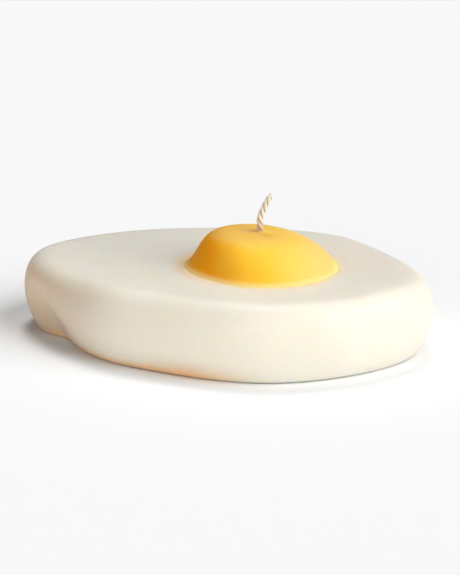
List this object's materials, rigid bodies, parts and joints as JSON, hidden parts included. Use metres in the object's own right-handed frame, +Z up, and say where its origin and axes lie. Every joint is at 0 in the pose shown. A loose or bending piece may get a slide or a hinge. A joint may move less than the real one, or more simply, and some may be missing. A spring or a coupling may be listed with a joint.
{
  "type": "fried egg candle",
  "caption": "Wax candle cast in the shape of a fried egg: a thick rounded wax white with a fold in one end, a low domed wax yolk on top and a short bent twisted cotton wick.",
  "frame": {"origin": "on the surface the candle stands on, below the middle of its bounding box", "axes": "+X along the candle's length towards the end nearer the yolk, +Y from the long plain front to the back, +Z up out of the yolk"},
  "size_m": [0.1189, 0.0928, 0.0441],
  "materials": {
    "white_wax": "cream-white cast wax, satin, slightly translucent",
    "yolk_wax": "warm yellow cast wax, satin, slightly translucent",
    "cotton_wick": "waxed cotton cord of three strands twisted together"
  },
  "bodies": {
    "root": {"egg_white": "white_wax", "yolk": "yolk_wax", "wick": "cotton_wick"}
  },
  "joints": []
}
